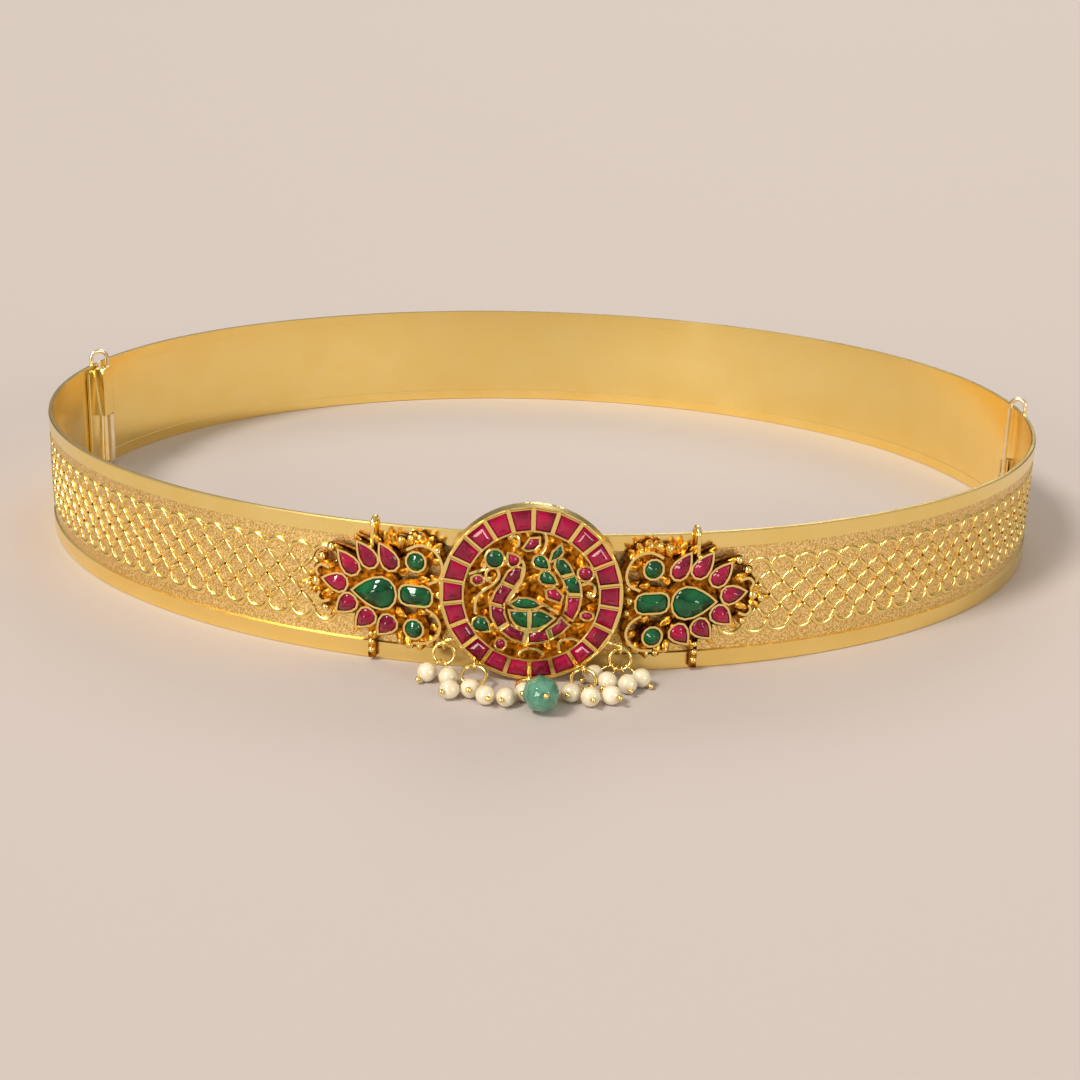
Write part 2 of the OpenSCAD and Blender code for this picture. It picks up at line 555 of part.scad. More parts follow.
// Free scrolls of wire on the disc's floor
scrolls = [
  [[-4.8, 12.3], [-3.9, 12.9], [-3.0, 12.1], [-3.1, 10.7], [-3.9, 10.3]],
  [[1.7, 14.0], [2.7, 13.0], [2.8, 11.4], [2.3, 9.9], [1.6, 8.9]],
  [[10.6, 2.4], [12.2, 2.9], [13.3, 1.9], [13.2, 0.3], [12.3, -0.2], [11.8, 0.5]],
  [[-2.4, -14.2], [-1.6, -12.9], [0.3, -12.3], [2.1, -12.9], [3.0, -14.1]],
  [[6.3, -13.0], [6.1, -11.2], [7.1, -10.1], [8.9, -9.8], [10.4, -10.3]],
  [[-7.4, 5.5], [-6.9, 3.9], [-7.8, 2.2], [-10.1, 0.5], [-11.7, -1.6], [-11.8, -4.8]],
  [[-9.9, 6.6], [-10.2, 5.3], [-11.9, 4.6], [-13.3, 4.1]],
  [[-8.9, 5.6], [-9.7, 4.3], [-9.3, 2.7], [-8.6, 3.6]],
  [[-2.3, 7.6], [-1.7, 6.2], [-1.9, 3.9], [-3.3, 0.9], [-4.9, -1.9]],
  [[2.2, -1.9], [3.9, -3.0], [5.9, -4.3]]
];
scroll_w = 0.6;
scroll_low = 0.25;
scroll_ball = [12.2, 0.2];
scroll_ball_r = 0.75;
module outlines(list, grown) for (o = list) polygon(shrink(wound(o), -grown));
// Neighbouring stone walls run together where they come closer than a wall's width
module bird_body() offset(delta = -bezel * 0.6) offset(delta = bezel * 0.6) {
  outlines(peacock_reds, bezel);
  outlines(peacock_greens, bezel);
}
module disc_pockets() {
  outlines(peacock_reds, 0);
  outlines(peacock_greens, 0);
  for (i = [0:ring_count - 1]) polygon(ring_cell(i));
}
module ring_band() difference() {
  circle(r = disc_r, $fn = 132);
  translate([0, -ring_drop]) circle(r = ring_in, $fn = 96);
}

// A soldered eye: its axis lies along the belt, so a jump ring's wire can cross it
module eye(at) translate(at) rotate([0, 90, 0]) rotate_extrude() translate([eye_r, 0])
  circle(r = eye_wire);
// A straight rod between two points
module rod(a, b, r) {
  d = b - a;
  translate(a) rotate([0, acos(d[2] / norm(d)), atan2(d[1], d[0])]) cylinder(r = r, h = norm(d));
}
// A neck wound with wire, from its root to the nearest side of the eye
module wound_neck(root, at) {
  d = [0, root[1] - at[1], root[2] - at[2]];
  joint = at + eye_r * d / norm(d);
  way = (joint - root) / norm(joint - root);
  reach = norm(joint - root);
  rod(root, root + way * (reach + neck_in), neck_r);
  for (k = [1:neck_turns]) rod(root + way * (reach + neck_in - neck_step * k - neck_coil),
    root + way * (reach + neck_in - neck_step * k), neck_r + neck_wire);
  eye(at);
}
neck_r = 0.42;
neck_turns = 2;
neck_in = 0.1;
neck_step = 0.6;
neck_coil = 0.35;
neck_wire = 0.2;
rim_in = [0.1, 0.6];
function rim_root(x, z) = let (d = [x - disc_x, z - disc_z], u = d / norm(d))
  [disc_x + u[0] * (disc_r - rim_in[0]), disc_face + rim_in[1],
   disc_z + u[1] * (disc_r - rim_in[0])];
post_r = 1.4;
post_x = 8;
post_z = 8;
post_in = 0.2;

module disc_frame() color(gold) seat() {
  on_disc() {
    cylinder(r = disc_r, h = disc_plate);
    translate([0, 0, disc_plate]) linear_extrude(seat_z - disc_plate)
      offset(delta = 0.001) {
        ring_band();
        bird_body();
      }
    translate([0, 0, seat_z]) linear_extrude(pocket) difference() {
      offset(delta = 0.001) {
        ring_band();
        bird_body();
      }
      offset(delta = 0.001) disc_pockets();
    }
    translate([0, 0, disc_plate]) linear_extrude(disc_deep - scroll_low - disc_plate)
      offset(delta = 0.001) intersection() {
        for (s = scrolls) stroke(smooth(s), scroll_w);
        translate([0, -ring_drop]) circle(r = ring_in + 0.1, $fn = 96);
      }
    translate([scroll_ball[0], scroll_ball[1], seat_z]) sphere(r = scroll_ball_r);
  }
  for (x = [-post_x, post_x]) for (z = [-post_z, 0])
    post_to_ground(disc_x + x, disc_z + z, -half_d - disc_gap - post_in);
  for (i = [0:4]) wound_neck(rim_root(rings[i][0], rings[i][2]), eye_place(i));
}
function eye_place(i) = [rings[i][0], rings[i][1], rings[i][2]];
// A round post from a motif's back to just clear of the band's sunk ground
module post_to_ground(x, z, y_from) {
  ground_y = front_y - sqrt(pow(front_r - recess, 2) - pow(abs(x) - post_r, 2));
  translate([x, ground_y - post_clear, z]) rotate([90, 0, 0])
    cylinder(r = post_r, h = ground_y - post_clear - y_from);
}

module ring_rubies() color(ruby) seat() on_disc() for (i = [0:ring_count - 1])
  cut_stone(wound(ring_cell(i)), seat_z + 0.03, disc_deep - 0.35, disc_deep + 0.1);
module peacock_rubies() color(ruby) seat() on_disc() for (o = peacock_reds)
  cut_stone(wound(o), seat_z + 0.03, disc_deep - 0.35, disc_deep + 0.15);
module peacock_emeralds() color(emerald) seat() on_disc() for (o = peacock_greens)
  cut_stone(wound(o), seat_z + 0.03, disc_deep - 0.35, disc_deep + 0.15);

// A motif's plane: x away from the disc, y up, z out of the band, z = 0 at the plate's back
motif_turn = motif_s / front_r * 180 / PI;
module on_motif(side) translate([0, front_y, 0]) rotate([0, 0, side * motif_turn])
  translate([0, -front_r - motif_gap, motif_z]) rotate([90, 0, 0])
    mirror([side < 0 ? 1 : 0, 0, 0]) children();
motif_step = 0.2;
motif_seat = motif_plate + motif_step;
motif_top = motif_plate + motif_wall;
pear = turned(drop_shape(9.6, 7, 16), 0, [1.2, -0.5]);
bar = turned([[-3.5, -0.8], [-3, -1.7], [-2, -2.1], [2, -2.1], [3, -1.7], [3.5, -0.8],
  [3.5, 0.8], [3, 1.7], [2, 2.1], [-2, 2.1], [-3, 1.7], [-3.5, 0.8]], 0, [-8.2, -0.2]);
upper_round = turned(oval(4, 4.1, 12), 0, [-8.2, 7.5]);
lower_round = turned(oval(4, 4.1, 12), 0, [-7.8, -7.9]);
// Petals as [x, y, direction of the tip, length, width]
petals = [
  [-1.8, 7.9, 59, 6.2, 3.7], [3, 7.9, 54, 6.2, 3.7], [7.2, 5.7, 50, 6, 3.7],
  [10.1, 1, 10, 5.4, 3.9], [7.7, -3.9, -42, 5.2, 3.9], [3.4, -6.8, -46, 5.2, 3.9],
  [-1.5, -7.8, -50, 5.1, 3.9]
];
petal_outlines = [for (p = petals) turned(drop_shape(p[3], p[4], 12), p[2], [p[0], p[1]])];
motif_outlines = concat(petal_outlines, [pear, bar, upper_round, lower_round]);
// Wire scrolls round the two round stones and behind the petals
motif_scrolls = [
  [[-6, 9.9], [-8.7, 11.2], [-11.4, 10.8], [-13.3, 9.0], [-14.1, 6.3], [-13.3, 4.0],
   [-10.9, 2.7]],
  [[-10.4, -3.1], [-12.5, -4.3], [-13.7, -6.7], [-12.9, -9.2], [-10.5, -10.9], [-7.6, -11.2]],
  [[11.5, 3.9], [13.4, 4.5], [14.6, 3.3], [14.0, 1.9]],
  [[11.5, -3.4], [13.2, -4.0], [14.3, -3.0], [13.8, -1.7]]
];
// Cast leaf lumps and granules as [x, y, radius]
granules = [
  [-4.4, 11.6, 0.9], [-6.6, 12.3, 0.8], [-8.8, 12.5, 0.9], [-10.9, 11.7, 0.8], [-12.7, 10, 0.9],
  [-4.4, -11.4, 0.8], [-6.6, -12.1, 0.8], [-8.8, -12.2, 0.8], [-10.9, -11.4, 0.8],
  [-12.7, -9.6, 0.9], [-13.4, 2.9, 0.8], [-13.4, -2.7, 0.8], [14.9, 0.2, 1.1], [16.9, -0.6, 0.9],
  [13.5, 6, 0.9], [11.4, 8.3, 0.9], [12.9, -5.7, 0.8], [-13, 0.1, 1]
];
// How the plate reaches past what it carries, and the width of gap that it closes
plate_lip = 1.1;
plate_web = 0.9;
scroll_back = 1.7;
grain_lip = 0.2;
// The tab that runs down over the lower rim, and the balls on it
tab_x = 2.3;
tab_w = 1.5;
tab_foot = 0.7;
tab_top = -7.5;
tab_balls = 3;
tab_ball_r = 0.75;
tab_ball_step = 1.9;
// The wire hook over the upper rim
hook_x = 2;
hook_r = 0.5;
hook_from = 10.2;
hook_over = 0.25;
hook_behind = 0.1;
hook_y = band_h + hook_over + hook_r - motif_z;
hook_z = -motif_gap - wall - hook_behind - hook_r;
hook_grip = 3;
post_small = 1;
motif_posts = [2, -8];
post_clear = 0.05;
function ground_z(x) = sqrt(pow(front_r - recess, 2) - pow(max(0, abs(x) - post_small), 2))
  - front_r - motif_gap + post_clear;
module motif_plate_shape() offset(delta = -plate_web) offset(delta = plate_web) {
  outlines(motif_outlines, plate_lip);
  for (s = motif_scrolls) stroke(smooth(s), scroll_back);
  for (g = granules) translate([g[0], g[1]]) circle(r = g[2] + grain_lip, $fn = 12);
  translate([tab_x - tab_w / 2, tab_foot - motif_z]) square([tab_w, motif_z - tab_foot + tab_top]);
}
module motif_frame(side) {
  on_motif(side) {
    linear_extrude(motif_plate) motif_plate_shape();
    translate([0, 0, motif_plate]) linear_extrude(motif_seat - motif_plate)
      offset(delta = 0.001) outlines(motif_outlines, bezel);
    translate([0, 0, motif_seat]) linear_extrude(motif_top - motif_seat) difference() {
      offset(delta = 0.001) outlines(motif_outlines, bezel);
      offset(delta = 0.001) outlines(motif_outlines, 0);
    }
    translate([0, 0, motif_plate]) linear_extrude(motif_wall - scroll_low)
      offset(delta = 0.001) difference() {
        for (s = motif_scrolls) stroke(smooth(s), scroll_w);
        outlines(motif_outlines, bezel / 2);
      }
    for (g = granules) translate([g[0], g[1], motif_plate]) sphere(r = g[2]);
    for (k = [1:tab_balls])
      translate([tab_x, tab_foot + tab_ball_step * k - motif_z, motif_plate])
        sphere(r = tab_ball_r);
    // The wire hook that grips the upper rim
    translate([hook_x, hook_from, motif_plate]) rotate([-90, 0, 0])
      cylinder(r = hook_r, h = hook_y - hook_from);
    translate([hook_x, hook_y, motif_plate]) sphere(r = hook_r);
    translate([hook_x, hook_y, hook_z]) cylinder(r = hook_r, h = motif_plate - hook_z);
    translate([hook_x, hook_y, hook_z]) sphere(r = hook_r);
    translate([hook_x, hook_y - hook_grip, hook_z]) rotate([-90, 0, 0])
      cylinder(r = hook_r, h = hook_grip);
  }
  for (x = motif_posts) motif_post(side, x);
}
module motif_post(side, x) on_motif(side) translate([x, 0, ground_z(x)])
  cylinder(r = post_small, h = motif_plate / 2 - ground_z(x));
module left_motif_frame() color(gold) seat() motif_frame(-1);
module right_motif_frame() color(gold) seat() motif_frame(1);
module motif_stone(side, o, tall) seat() on_motif(side)
  cut_stone(wound(o), motif_seat + 0.03, motif_top - 0.35, motif_top + tall);
module left_petal_rubies() color(ruby) for (o = petal_outlines) motif_stone(-1, o, 0.25);
module right_petal_rubies() color(ruby) for (o = petal_outlines) motif_stone(1, o, 0.25);
module left_pear_emerald() color(emerald) motif_stone(-1, pear, 0.5);
module left_bar_emerald() color(emerald) motif_stone(-1, bar, 0.4);
module left_upper_emerald() color(emerald) motif_stone(-1, upper_round, 0.4);
module left_lower_emerald() color(emerald) motif_stone(-1, lower_round, 0.4);
module right_pear_emerald() color(emerald) motif_stone(1, pear, 0.5);
module right_bar_emerald() color(emerald) motif_stone(1, bar, 0.4);
module right_upper_emerald() color(emerald) motif_stone(1, upper_round, 0.4);
module right_lower_emerald() color(emerald) motif_stone(1, lower_round, 0.4);

// Drops: z along the pin, y across its loop, as the ring's wire runs through it
module toward(from, to, wire) {
  z = (to - from) / norm(to - from);
  across = wire - (wire * z) * z;
  y = across / norm(across);
  x = cross(y, z);
  multmatrix([[x[0], y[0], z[0], from[0]], [x[1], y[1], z[1], from[1]],
    [x[2], y[2], z[2], from[2]]]) children();
}
function pearl_wire(p) = ring_way(rings[p[0]], p[1]);
bead_wire = ring_way(rings[bead_ring], bead_turn);
module pearl(i) {
  at = pearl_at(pearls[i]);
  color(pearl_white) seat() toward(at, 2 * at - pearl_from(pearls[i]), pearl_wire(pearls[i]))
    difference() {
      sphere(r = pearl_r);
      translate([0, 0, -pearl_r - 1]) cylinder(r = head_wire + drill_fit, h = 2 * pearl_r + 2);
    }
}
// One head pin: a loop round the ring's wire, a straight wire and a ball under the bead
module head_pin(from, at, half, wire) toward(from, at, wire) {
  reach = norm(at - from) + half + head_ball;
  rotate([90, 0, 0]) rotate_extrude() translate([head_loop, 0]) circle(r = head_wire);
  translate([0, 0, head_loop]) cylinder(r = head_wire, h = reach - head_loop);
  translate([0, 0, reach + ball_gap]) sphere(r = head_ball);
}
module jump_ring(i) color(gold) seat() translate(ring_mid(rings[i]))
  rotate([slope(rings[i]), 0, 0]) rotate_extrude() translate([rings[i][3], 0])
    circle(r = ring_wire);
module head_pins(i) color(gold) seat() {
  for (p = pearls) if (p[0] == i) head_pin(pearl_from(p), pearl_at(p), pearl_r, pearl_wire(p));
  if (i == bead_ring) head_pin(bead_from, bead_at, bead_l / 2, bead_wire);
}
// A ribbed bead: rings of sides whose radius swells between the ribs, round a drilled hole
bead_sides = 16;
bead_rows = 8;
rib = 0.07;
bead_hole = 0.45;
bead_dish = 0.2;
bead_last = 78;
function bead_ring_points(r, z, ribbed) = [for (k = [0:bead_sides - 1])
  let (q = r * (ribbed && k % 2 == 1 ? 1 - rib : 1), t = 360 * k / bead_sides)
    [q * cos(t), q * sin(t), z]];
module melon_bead() color(melon_green) seat() toward(bead_at, 2 * bead_at - bead_from, bead_wire) {
  rows = concat(
    [bead_ring_points(bead_hole, -bead_l / 2 + bead_dish, false)],
    [for (j = [0:bead_rows - 1]) let (t = bead_last * (2 * j / (bead_rows - 1) - 1))
      bead_ring_points(bead_r * cos(t), bead_l / 2 * sin(t), true)],
    [bead_ring_points(bead_hole, bead_l / 2 - bead_dish, false)]);
  n = bead_sides;
  count = len(rows);
  polyhedron(points = each_of(rows), faces = [for (j = [0:count - 1]) for (k = [0:n - 1])
    let (a = j * n + k, b = j * n + (k + 1) % n, c = (j + 1) % count * n + (k + 1) % n,
         d = (j + 1) % count * n + k) each [[a, c, b], [a, d, c]]]);
}

front_band();
back_band();
left_panel();
right_panel();
left_hairpin();
right_hairpin();
disc_frame();
left_motif_frame();
right_motif_frame();
ring_rubies();
peacock_rubies();
peacock_emeralds();
left_petal_rubies();
right_petal_rubies();
left_pear_emerald();
left_bar_emerald();
left_upper_emerald();
left_lower_emerald();
right_pear_emerald();
right_bar_emerald();
right_upper_emerald();
right_lower_emerald();
pearl(0);  // pearl_1
pearl(1);  // pearl_2
pearl(2);  // pearl_3
pearl(3);  // pearl_4
pearl(4);  // pearl_5
pearl(5);  // pearl_6
pearl(6);  // pearl_7
pearl(7);  // pearl_8
pearl(8);  // pearl_9
pearl(9);  // pearl_10
pearl(10);  // pearl_11
pearl(11);  // pearl_12
pearl(12);  // pearl_13
pearl(13);  // pearl_14
pearl(14);  // pearl_15
melon_bead();
jump_ring(0);  // jump_ring_1
jump_ring(1);  // jump_ring_2
jump_ring(2);  // jump_ring_3
jump_ring(3);  // jump_ring_4
jump_ring(4);  // jump_ring_5
head_pins(0);  // head_pins_1
head_pins(1);  // head_pins_2
head_pins(2);  // head_pins_3
head_pins(3);  // head_pins_4
head_pins(4);  // head_pins_5
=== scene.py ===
# A rigid gilt waist belt with a peacock disc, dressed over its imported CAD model.
import math

import bpy
from mathutils import Matrix, Vector


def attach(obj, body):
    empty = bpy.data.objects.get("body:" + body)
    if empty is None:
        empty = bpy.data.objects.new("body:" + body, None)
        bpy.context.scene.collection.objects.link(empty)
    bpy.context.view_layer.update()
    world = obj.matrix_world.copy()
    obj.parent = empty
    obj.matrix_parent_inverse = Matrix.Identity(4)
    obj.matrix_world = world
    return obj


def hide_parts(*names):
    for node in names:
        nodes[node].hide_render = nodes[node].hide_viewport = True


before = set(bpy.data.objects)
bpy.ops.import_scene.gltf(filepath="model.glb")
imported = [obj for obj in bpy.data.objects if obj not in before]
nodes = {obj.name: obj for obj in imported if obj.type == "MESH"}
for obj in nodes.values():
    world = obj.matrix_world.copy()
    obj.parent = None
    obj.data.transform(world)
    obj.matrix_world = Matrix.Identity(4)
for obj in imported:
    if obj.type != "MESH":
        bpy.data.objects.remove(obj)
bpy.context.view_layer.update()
mm = 0.001

# The camera stands in front of the belt and looks a little down on it, as in the photo.
# Its place and its directions come from the perspective of the two rims.
camera_at = Vector((1.69, -459.73, 144.9)) * mm
camera_right = Vector((0.9995, 0.014, 0.0296)).normalized()
camera_back = camera_right.cross(Vector((-0.0325, 0.3136, 0.949))).normalized()
camera_up = camera_back.cross(camera_right)
bpy.ops.object.camera_add()
camera = bpy.context.object
camera.data.lens = 57.36
camera.data.clip_start = 0.01
camera.data.clip_end = 200
aimed = Matrix((camera_right, camera_up, camera_back)).transposed()
camera.matrix_world = Matrix.Translation(camera_at) @ aimed.to_4x4()
bpy.context.scene.camera = camera
# Colours are shown as they are, with no film curve over them
bpy.context.scene.view_settings.view_transform = "Standard"


# The surface is a plain pale cream sheet of studio board, large enough to fill the view.
# It is matt, so that it throws a soft warm light up into the gold.
def tint(code):
    """A colour's sRGB hex value, turned linear."""
    parts = [int(code[i:i + 2], 16) / 255 for i in (1, 3, 5)]
    return [c / 12.92 if c <= 0.04045 else ((c + 0.055) / 1.055) ** 2.4 for c in parts] + [1]


def put(tree, kind, settings=None, links=None):
    """Adds a node, or finds the one that has this name, and gives it its settings and links."""
    made = tree.nodes.get(kind) or tree.nodes.new(kind)
    for name, value in (settings or {}).items():
        if name == "stops":
            for stop, (at, colour) in zip(made.color_ramp.elements, value):
                stop.position, stop.color = at, colour
        else:
            made.inputs[name].default_value = value
    for name, source in (links or {}).items():
        tree.links.new(source, made.inputs[name])
    return made


board = bpy.data.materials.new("matt_studio_board")
board.use_nodes = True
put(board.node_tree, "Principled BSDF", {"Base Color": tint("#C2B8B4"), "Roughness": 0.85})
bpy.ops.mesh.primitive_plane_add(size=80)
floor = bpy.context.object
floor.name = "studio_board"
floor.data.materials.append(board)

# The light is a studio's: a bright ceiling, walls that darken towards the board, and
# softboxes. The gold mirrors those walls, while the camera sees a plain pale backdrop.
world = bpy.data.worlds.new("studio")
bpy.context.scene.world = world
world.use_nodes = True
heading = put(world.node_tree, "ShaderNodeTexCoord")
rise = put(world.node_tree, "ShaderNodeSeparateXYZ", {}, {"Vector": heading.outputs["Generated"]})
walls = put(world.node_tree, "ShaderNodeValToRGB",
            {"stops": [(0.0, tint("#4A3D30")), (0.5, tint("#B8B5B0"))]},
            {"Fac": rise.outputs["Z"]})
ray = put(world.node_tree, "ShaderNodeLightPath")
seen = put(world.node_tree, "ShaderNodeMixRGB", {"Color2": tint("#E8DACE")},
           {"Fac": ray.outputs["Is Camera Ray"], "Color1": walls.outputs["Color"]})
put(world.node_tree, "Background", {"Strength": 1}, {"Color": seen.outputs["Color"]})
# The softboxes are suns of a wide angle, so far off that they light the board evenly.
# Each has the direction that it shines from, its width in degrees and its power.
for name, towards, wide, power in (
    ("window_light", (-0.62, -0.5, 0.9), 16, 2.3),
    ("left_softbox", (-0.75, -1, 0.32), 22, 1.1),
    ("right_softbox", (0.9, -0.85, 0.36), 20, 0.9),
    ("back_softbox", (0.15, 1, 0.7), 26, 0.7),
):
    bpy.ops.object.light_add(type="SUN")
    lamp = bpy.context.object
    lamp.name = name
    lamp.data.angle = math.radians(wide)
    lamp.data.energy = power
    lamp.data.color = tint("#FFF7EC")[:3]
    lamp.rotation_euler = Vector(towards).to_track_quat("Z", "Y").to_euler()

# The front section is a strip of gilt brass, rolled with polished rims and a sunk ground.
# Its ground is sandblasted, and the barrels for the hairpins are soldered inside it.
# In mm: the oval's wide arc at front and back, its tighter arc at each side, and its seat.
front_r, front_y, front_turn = 141.75, 15.75, math.radians(43.6028)
side_r, side_x = 120, 15
front_run = front_r * front_turn
seat = Vector((-0.71, 13.67, 0))
# Depths below the outer line and heights at which the rolled profiles bend
front_levels = (0, -0.25, -0.5, -0.95, -1.08, -1.2)
front_heights = (0, 0.25, 3.2, 3.32, 3.95, 4.2, 27.5, 27.75, 27.98, 28.1, 31.05, 31.3)
# How far the CAD model's lapped arcs are off those, and the edges that this leaves to weld
lap_least, lap_most, weld = 0.002, 0.04, 0.03
ground_level, ground_play, ground_foot, ground_top = -0.5, 0.1, 4, 27.6
wall_deep, square_on = 1.3, 0.97
double, flat_turn = 0.002, math.radians(0.6)
# A section is shaded smooth up to this turn, which is less than its chamfers' 45 degrees
chamfer_turn = math.radians(33)
# The hairpins' line inside the side arcs, and how far behind the middle each one stands
pin_line, hinge_back, clasp_back, barrel_reach = 117.3, 26, 2.5, 1.5


def along(s):
    """A place on the oval's outer line s mm from the front's middle, and its outward angle."""
    if abs(s) <= front_run:
        turned = s / front_r
        return front_r * math.sin(turned), front_y - front_r * math.cos(turned), turned
    side = math.copysign(1, s)
    turned = front_turn + (abs(s) - front_run) / side_r
    return side * (side_x + side_r * math.sin(turned)), -side_r * math.cos(turned), side * turned


def on_band(s, out, z):
    """The place in the belt's frame, in metres, of a point s along, out of and up the band."""
    x, y, turned = along(s)
    return (Vector((x + out * math.sin(turned), y - out * math.cos(turned), z)) + seat) * mm


def outward_of(place):
    """The way out of the belt at a place, as long as the place is far from its arc's centre."""
    p = Vector(place) / mm - seat
    p.z = 0
    away = math.copysign(front_y, p.y)
    if abs(math.atan2(p.x, abs(p.y + away))) <= front_turn:
        return p + Vector((0, away, 0))
    return p - Vector((math.copysign(side_x, p.x), 0, 0))


def depth_in(place):
    """How far out of the oval's outer line a place lies, in mm."""
    p = Vector(place) / mm - seat
    on_wide_arc = abs(math.atan2(p.x, abs(p.y) + front_y)) <= front_turn
    return outward_of(place).length - (front_r if on_wide_arc else side_r)


def alone(piece):
    """Makes a piece the only selected object and the active one."""
    bpy.ops.object.select_all(action="DESELECT")
    piece.select_set(True)
    bpy.context.view_layer.objects.active = piece


def copy_of(node, name, whole=True):
    """A copy of a CAD node with its doubles merged, and its flat faces made whole again."""
    piece = bpy.data.objects.new(name, nodes[node].data.copy())
    bpy.context.scene.collection.objects.link(piece)
    piece.data.materials.clear()
    alone(piece)
    bpy.ops.object.mode_set(mode="EDIT")
    bpy.ops.mesh.select_all(action="SELECT")
    bpy.ops.mesh.remove_doubles(threshold=double * mm)
    if whole:
        bpy.ops.mesh.dissolve_limited(angle_limit=flat_turn)
    bpy.ops.object.mode_set(mode="OBJECT")
    return piece


def trued(piece, levels, heights):
    """Draws a section's lapped end arcs, a hair thinner in the CAD model, level with the rest."""
    for v in piece.data.vertices:
        for level in levels:
            if lap_least < abs(depth_in(v.co) - level) < lap_most:
                v.co += outward_of(v.co).normalized() * (level - depth_in(v.co)) * mm
        for height in heights:
            if abs(v.co.z / mm - height) < lap_most:
                v.co.z = height * mm
    bpy.ops.object.mode_set(mode="EDIT")
    bpy.ops.mesh.select_all(action="SELECT")
    bpy.ops.mesh.remove_doubles(threshold=weld * mm)
    bpy.ops.object.mode_set(mode="OBJECT")


def shade(piece, sharp):
    """Shades a piece smooth up to an angle, with its broad faces kept truly flat."""
    alone(piece)
    bpy.ops.object.shade_smooth_by_angle(angle=sharp)
    flat = piece.modifiers.new("flat_faces", "WEIGHTED_NORMAL")
    flat.keep_sharp = True
    bpy.ops.object.modifier_apply(modifier=flat.name)


def rolled(piece):
    """Gives a section's walls, rims and chamfers the normals of the true oval, not of facets."""
    normals = [corner.vector.copy() for corner in piece.data.corner_normals]
    for face in piece.data.polygons:
        if depth_in(face.center) > -wall_deep:
            for i in face.loop_indices:
                place = piece.data.vertices[piece.data.loops[i].vertex_index].co
                out = outward_of(place).normalized()
                across, climb = face.normal.dot(out), face.normal.z
                if across ** 2 + climb ** 2 > square_on:
                    level = math.sqrt(max(0, 1 - climb ** 2))
                    normals[i] = Vector((0, 0, climb)) + out * math.copysign(level, across)
    piece.data.normals_split_custom_set(normals)


def finish(name):
    """A new material, and the link that lays its patterns on the piece in the belt's frame."""
    made = bpy.data.materials.new(name)
    made.use_nodes = True
    spot = put(made.node_tree, "ShaderNodeTexCoord")
    return made, {"Vector": spot.outputs["Object"]}


# Polished gold plate: a deep yellow mirror, with patches of faint haze some 11 mm wide
# and rubbing marks 1 mm wide that only just break the light
polished, spot = finish("polished_gold_plate")
haze_size, rub_size = 11.11 * mm, 1.111 * mm
haze = put(polished.node_tree, "ShaderNodeTexNoise", {"Scale": 1 / haze_size, "Detail": 3}, spot)
dullness = put(polished.node_tree, "ShaderNodeMapRange",
               {"From Min": 0.3, "From Max": 0.7, "To Min": 0.18, "To Max": 0.22},
               {"Value": haze.outputs["Fac"]})
tone = put(polished.node_tree, "ShaderNodeValToRGB",
           {"stops": [(0.3, tint("#FDDE86")), (0.7, tint("#FFE494"))]},
           {"Fac": haze.outputs["Fac"]})
rubbing = put(polished.node_tree, "ShaderNodeTexNoise", {"Scale": 1 / rub_size, "Detail": 2}, spot)
ripple = put(polished.node_tree, "ShaderNodeBump", {"Strength": 0.05, "Distance": 0.05 * mm},
             {"Height": rubbing.outputs["Fac"]})
put(polished.node_tree, "Principled BSDF", {"Metallic": 1}, {
    "Base Color": tone.outputs["Color"], "Roughness": dullness.outputs["Result"],
    "Normal": ripple.outputs["Normal"]})

# Sandblasted gold: paler and matt, with a grain of 0.3 mm drawn a little coarser to show
blasted, spot = finish("sandblasted_gold_plate")
grain_size = 0.3846 * mm
grain = put(blasted.node_tree, "ShaderNodeTexNoise", {"Scale": 1 / grain_size, "Detail": 1}, spot)
tone = put(blasted.node_tree, "ShaderNodeValToRGB",
           {"stops": [(0.36, tint("#CFA451")), (0.62, tint("#FFE3A0"))]},
           {"Fac": grain.outputs["Fac"]})
pits = put(blasted.node_tree, "ShaderNodeBump", {"Strength": 0.6, "Distance": 0.1 * mm},
           {"Height": grain.outputs["Fac"]})
put(blasted.node_tree, "Principled BSDF", {"Metallic": 1, "Roughness": 0.4}, {
    "Base Color": tone.outputs["Color"], "Normal": pits.outputs["Normal"]})

# Bare tube and wire: barrels and hairpins, drawn through a die, which leaves them satin and
# clouded every 2 mm.
# Their colour is painted paler than the plate, as a painted highlight.
wire, spot = finish("highlight_painted_gold_wire")
mark_size = 2 * mm
draw_marks = put(wire.node_tree, "ShaderNodeTexNoise", {"Scale": 1 / mark_size, "Detail": 2}, spot)
tone = put(wire.node_tree, "ShaderNodeValToRGB",
           {"stops": [(0.3, tint("#FBE3B4")), (0.7, tint("#FFF1D2"))]},
           {"Fac": draw_marks.outputs["Fac"]})
put(wire.node_tree, "Principled BSDF", {"Metallic": 1, "Roughness": 0.27},
    {"Base Color": tone.outputs["Color"]})

left_swing, right_swing = math.asin(hinge_back / side_r), math.asin(clasp_back / side_r)
barrels = [(-side_x - pin_line * math.cos(left_swing), pin_line * math.sin(left_swing)),
           (side_x + pin_line * math.cos(right_swing), pin_line * math.sin(right_swing))]


def pale_barrels(piece):
    """Gives a section's barrels, which stand round the hairpins' legs, the pale wire colour, a
    painted highlight.
    """
    for face in piece.data.polygons:
        p = face.center / mm - seat
        for x, y in barrels:
            if math.hypot(p.x - x, p.y - y) < barrel_reach:
                face.material_index = len(piece.data.materials) - 1


front = copy_of("front_band", "front_section", False)
trued(front, front_levels, front_heights)
front.data.materials.append(polished)
front.data.materials.append(blasted)
front.data.materials.append(wire)
shade(front, chamfer_turn)
for face in front.data.polygons:
    level_with_ground = abs(depth_in(face.center) - ground_level) < ground_play
    if level_with_ground and ground_foot * mm < face.center.z < ground_top * mm:
        face.material_index = 1
pale_barrels(front)
rolled(front)
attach(front, "front")
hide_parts("front_band")

